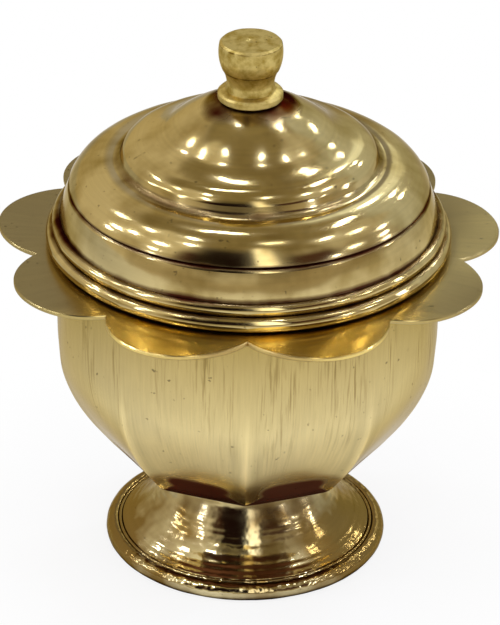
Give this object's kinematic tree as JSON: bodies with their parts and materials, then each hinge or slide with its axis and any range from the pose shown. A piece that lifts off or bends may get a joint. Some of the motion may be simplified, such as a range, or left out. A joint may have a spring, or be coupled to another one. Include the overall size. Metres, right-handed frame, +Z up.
{
  "type": "kumkum box",
  "caption": "Small footed brass box for vermilion powder: fluted bowl with a petal-cut rim, flared foot, and a stepped spun lid with a turned knob that lifts off.",
  "frame": {"origin": "on the box's upright axis, in the plane its foot stands on", "axes": "+Z up along the axis; -Y is the front, where a notch between two petals faces the viewer; +X to the viewer's right"},
  "size_m": [0.0686, 0.0679, 0.076],
  "materials": {
    "bowl_brass": "satin, drawn, with fine upright streaks",
    "foot_brass": "polished by hand, slightly wavy",
    "wire_brass": "plain drawn wire, hidden",
    "solder": "dull soft solder",
    "lid_brass": "spun and mirror polished",
    "sleeve_brass": "plain sheet, unpolished",
    "knob_brass": "turned, with fine tool marks",
    "screw_brass": "plain turned"
  },
  "bodies": {
    "box": {"bowl": "bowl_brass", "foot": "foot_brass", "foot_wire": "wire_brass", "foot_solder": "solder"},
    "lid": {"lid": "lid_brass", "lid_sleeve": "sleeve_brass", "knob": "knob_brass", "knob_screw": "screw_brass", "knob_washer": "screw_brass"}
  },
  "joints": [
    {"name": "lid_lift", "type": "slide", "parent": "box", "child": "lid", "axis": [0, 0, 1], "range_m": [0, 0.08]}
  ]
}
